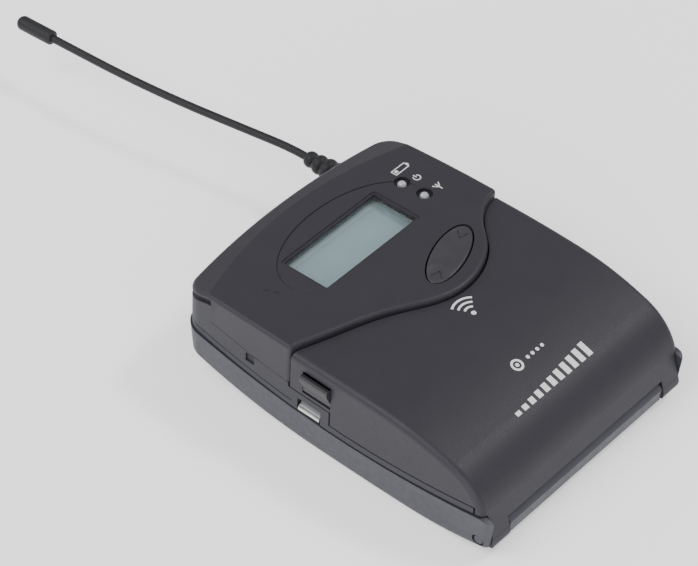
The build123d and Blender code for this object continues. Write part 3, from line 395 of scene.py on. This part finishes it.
def cell_jacket(name, jacket, band, metal, bare_end=1.5 * MM, soft=0.1 * MM):
    """Foil jacket of a round cell with a contrasting band, bare metal at both ends."""
    surface = Surface(name, 0.28, metallic=0.55, coat_weight=0.3)
    low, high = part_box("battery_cell_rear")
    half = (high.x - low.x) / 2
    along = surface.axis("X")
    reach = surface.maths("ABSOLUTE", along, 0.0)
    bare = surface.span(reach, half - bare_end, half - bare_end + soft)
    banded = surface.span(along, 0.30 * half, 0.31 * half)
    scuffs = surface.span(surface.noise(520.0, detail=5.0, rough=0.7), 0.45, 0.75, 0.0, 0.35)
    wrap = surface.blend(banded, jacket, band)
    wrap = surface.blend(scuffs, wrap, shade(jacket, 1.5))
    surface.colour(surface.blend(bare, wrap, metal))
    surface.bump(surface.noise(1400.0, detail=3.0), 0.01 * MM)
    return surface.material


# base colours shared by several pieces
CHARCOAL = (0.027, 0.0245, 0.031)
SHELL_GREY = (0.034, 0.0345, 0.045)
FRAME_GREY = (0.028, 0.0275, 0.034)
BLACK = (0.016, 0.016, 0.018)
NICKEL = (0.76, 0.75, 0.72)
PRINT_WHITE = (0.78, 0.78, 0.78)


def dress_nodes():
    """Give every CAD node its material."""
    panel = textured_plastic("panel_plastic", CHARCOAL, 0.46, grain_mm=0.26, depth_mm=0.008)
    cover = textured_plastic("cover_plastic", CHARCOAL, 0.48, grain_mm=0.34, depth_mm=0.014)
    band = textured_plastic("frame_plastic", FRAME_GREY, 0.5, grain_mm=0.28, depth_mm=0.008)
    shell = coated_metal("shell_coating", SHELL_GREY, 0.5)
    rocker = smooth_plastic("rocker_plastic", (0.028, 0.026, 0.031), 0.42)
    tab = smooth_plastic("tab_plastic", (0.024, 0.0225, 0.027), 0.45)
    key = smooth_plastic("key_plastic", (0.26, 0.27, 0.29), 0.45)
    black = smooth_plastic("black_moulding", BLACK, 0.4)
    white = smooth_plastic("white_moulding", (0.72, 0.72, 0.69), 0.5)
    elastic = rubber("antenna_rubber", (0.0095, 0.0095, 0.011))
    spring = drawn_metal("nickel_spring", NICKEL, 0.22)
    # the second colour is painted shade: the dark reflection seen on the leaf's upper part
    leaf = contact_metal("contact_leaf", (0.74, 0.73, 0.68), (0.16, 0.165, 0.17))
    tin = drawn_metal("tin_plate", (0.66, 0.66, 0.64), 0.3)
    dark_steel = drawn_metal("blackened_steel", (0.07, 0.07, 0.075), 0.38)
    collar = drawn_metal("collar_nickel", (0.58, 0.57, 0.55), 0.26, grain=(9000.0, 300.0, 9000.0))
    board = circuit_board("circuit_board", (0.012, 0.10, 0.045), (0.03, 0.20, 0.09))
    lamp = frosted_lamp("lamp_dome", (0.42, 0.43, 0.44))
    cell = cell_jacket("cell_jacket", (0.10, 0.13, 0.19), (0.42, 0.44, 0.46), (0.62, 0.62, 0.6))
    looks = {
        "front_panel": panel, "battery_cover": cover, "mid_frame": band, "rear_shell": shell,
        "rocker_button": rocker, "latch_tab_left": tab, "latch_tab_right": tab, "mute_slider": tab,
        "set_button": key, "power_button": key, "jack_socket": black, "mute_housing": black,
        "antenna_socket": black, "battery_tray": black, "board_header": black, "board_parts": black,
        "rocker_fulcrum": black, "lcd_holder": white, "antenna_boot": elastic, "antenna_whip": elastic,
        "antenna_tip": elastic, "battery_contacts_left": spring, "battery_contacts_right": spring,
        "charge_contact_left": leaf, "charge_contact_right": leaf, "rf_shield": tin,
        "key_switches": tin, "rocker_switches": tin, "hinge_pin_left": shell, "hinge_pin_right": shell,
        "housing_screws": dark_steel, "jack_collar": collar, "display_board": board,
        "main_board": board, "key_board": board, "power_light": lamp, "signal_light": lamp,
        "battery_cell_rear": cell, "battery_cell_front": cell,
        "cover_pad": foam("pad_foam", (0.07, 0.07, 0.075)),
        "display_window": clear_window("window_clear"),
        "lcd_glass": display_face("lcd_face", (0.30, 0.385, 0.41), (0.42, 0.50, 0.52)),
        "type_plate": smooth_plastic("plate_foil", (0.42, 0.43, 0.44), 0.35),
    }
    for name, node in NODES.items():
        node.data.materials.clear()
        node.data.materials.append(looks[name])


# ------------------------------------------------------------------------------------ printed marks
class Print:
    """Flat printed mark laid on a CAD surface: closed slab of ink that follows the surface below it."""

    LIFT = 0.012 * MM       # gap between the surface and the ink
    THICK = 0.03 * MM
    MERGE = 0.002 * MM      # corners closer than this are one
    ABOVE = 60.0 * MM       # height that the surface is looked for from

    def __init__(self, name, node, body, centre, turn=0.0, slot="plate_silver"):
        self.name = name
        self.body = body
        self.slot = slot
        self.centre = Vector((centre[0], centre[1]))
        self.turn = math.radians(turn)
        self.quads = []
        mesh = NODES[node].data
        points = [vertex.co for vertex in mesh.vertices]
        self.ground = BVHTree.FromPolygons(points, [face.vertices for face in mesh.polygons])

    def strip(self, points, width):
        """Band of ink along a line of points, in millimetres from the mark's centre."""
        left, right = [], []
        for index, point in enumerate(points):
            before = Vector(points[max(index - 1, 0)])
            after = Vector(points[min(index + 1, len(points) - 1)])
            side = (after - before).normalized()
            side = Vector((-side.y, side.x)) * width / 2
            left.append(Vector(point) + side)
            right.append(Vector(point) - side)
        for index in range(len(points) - 1):
            self.quads.append((left[index], right[index], right[index + 1], left[index + 1]))

    def arc(self, centre, radius, start, end, width, steps=24):
        """Band along an arc, angles in degrees."""
        points = []
        for step in range(steps + 1):
            turn = math.radians(start + (end - start) * step / steps)
            points.append((centre[0] + radius * math.cos(turn), centre[1] + radius * math.sin(turn)))
        self.strip(points, width)

    def disc(self, centre, radius, steps=28):
        """Filled round dot."""
        self.arc(centre, radius / 2, 0.0, 360.0, radius, steps)

    def bar(self, low, high, steps=6):
        """Upright filled rectangle between two corners."""
        middle = (low[0] + high[0]) / 2
        points = [(middle, low[1] + (high[1] - low[1]) * step / steps) for step in range(steps + 1)]
        self.strip(points, high[0] - low[0])

    def place(self, point, lift):
        """Where a point of the mark lies on the surface."""
        turned = Matrix.Rotation(self.turn, 2) @ point
        x = (self.centre.x + turned.x) * MM
        y = (self.centre.y + turned.y) * MM
        hit = self.ground.ray_cast(Vector((x, y, self.ABOVE)), Vector((0, 0, -1)))
        return Vector((x, y, hit[0].z + lift))

    @staticmethod
    def doubled(face):
        """Whether a wall stands inside the ink, back to back with its neighbour's."""
        corners = set(face.verts)
        return any(other != face and set(other.verts) == corners for other in face.verts[0].link_faces)

    def finish(self, ink):
        """Build the mark's mesh and put it on its body."""
        build = bmesh.new()
        for quad in self.quads:
            top = [build.verts.new(self.place(corner, self.LIFT + self.THICK)) for corner in quad]
            low = [build.verts.new(self.place(corner, self.LIFT)) for corner in quad]
            build.faces.new(top)
            build.faces.new(low[::-1])
            for this in range(len(quad)):
                after = (this + 1) % len(quad)
                build.faces.new((top[after], top[this], low[this], low[after]))
        bmesh.ops.remove_doubles(build, verts=build.verts, dist=self.MERGE)
        walls = [face for face in build.faces if self.doubled(face)]
        bmesh.ops.delete(build, geom=walls, context="FACES_ONLY")
        bmesh.ops.recalc_face_normals(build, faces=build.faces)
        mesh = bpy.data.meshes.new(self.name)
        build.to_mesh(mesh)
        build.free()
        mesh.materials.append(ink)
        mark = bpy.data.objects.new(self.name, mesh)
        bpy.context.scene.collection.objects.link(mark)
        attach(mark, self.body)


def print_ink():
    """White pad-printed ink with slightly uneven cover."""
    surface = Surface("print_ink", 0.5, specular_ior_level=0.4)
    cover = surface.noise(2400.0, detail=4.0, rough=0.7)
    surface.colour(surface.blend(surface.span(cover, 0.25, 0.6), shade(PRINT_WHITE, 0.8), PRINT_WHITE))
    surface.bump(cover, 0.004 * MM)
    return surface.material


def mark_cover(ink):
    """Radio waves, ring, level dots and level bars on the battery cover."""
    signal = Print("print_signal_icon", "battery_cover", "cover", (1.6, -7.6), turn=-8.0)
    signal.disc((0.0, -1.9), 0.55)
    for radius in (1.8, 3.1, 4.4):
        signal.arc((0.0, -1.9), radius, 52.0, 128.0, 0.5)
    signal.finish(ink)

    badge = Print("print_ring_icon", "battery_cover", "cover", (-3.0, -24.2))
    badge.arc((0.0, 0.0), 1.15, 0.0, 360.0, 0.5)
    badge.disc((0.0, 0.0), 0.45)
    badge.finish(ink)

    levels = Print("print_level_dots", "battery_cover", "cover", (0.2, -24.3))
    for index in range(4):
        levels.disc((index * 1.5, 0.0), 0.42, steps=20)
    levels.finish(ink)

    bars = Print("print_level_bars", "battery_cover", "cover", (-12.2, -32.0))
    pitch, width, lowest, growth = 2.25, 1.35, 0.9, 0.235
    for index in range(11):
        start = index * pitch
        bars.bar((start, 0.0), (start + width, lowest + growth * index))
    bars.finish(ink)


def beside(node, across, along):
    """A place in millimetres, that far from the middle of a node."""
    low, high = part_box(node)
    middle = (low + high) / 2
    return middle.x / MM + across, middle.y / MM + along


def mark_panel(ink):
    """Signs beside the two lamps, and a small moulded mark on the front panel drawn flat in painted
    shade.
    """
    power = Print("print_power_icon", "front_panel", "chassis", beside("power_light", 3.1, -1.4))
    power.arc((0.0, 0.0), 0.78, 125.0, 415.0, 0.24)
    power.bar((-0.12, 0.1), (0.12, 1.05), steps=2)
    power.finish(ink)

    battery = Print("print_battery_icon", "front_panel", "chassis", beside("power_light", 2.9, 3.0))
    corners = [(-2.0, -0.72), (2.0, -0.72), (2.0, 0.72), (-2.0, 0.72)]
    for start, end in zip(corners, corners[1:] + corners[:1]):
        battery.strip([start, end], 0.24)
    battery.bar((2.1, -0.35), (2.45, 0.35), steps=1)
    battery.bar((-1.6, -0.38), (-0.8, 0.38), steps=1)
    battery.finish(ink)

    mast = Print("print_antenna_icon", "front_panel", "chassis", beside("signal_light", 3.6, -0.7))
    mast.bar((-0.13, -1.1), (0.13, 0.9), steps=3)
    for side in (-1.0, 1.0):
        mast.strip([(0.22 * side, -0.1), (0.95 * side, 0.9)], 0.26)
    mast.finish(ink)

    # painted shade: the moulded mark is a flat mark far darker than the panel, standing in for the shade
    # of its relief
    relief_shade_mark = Print("moulded_mark_painted_shade", "front_panel", "chassis", (-22.2, 23.5), slot="panel_plastic")
    relief_shade_mark.strip([(-0.8, 1.3), (-0.3, 1.5), (0.0, 0.6)], 0.3)
    relief_shade_mark.strip([(0.2, -0.4), (0.7, -0.9), (0.4, -1.6)], 0.3)
    relief_shade_mark.finish(smooth_plastic("mark_painted_shade_plastic", shade(CHARCOAL, 0.35), 0.3))


def add_marks():
    """Generic pictograms where the real object carries print."""
    ink = print_ink()
    mark_cover(ink)
    mark_panel(ink)


add_camera()
add_lamps()
add_floor()
dress_nodes()
add_marks()
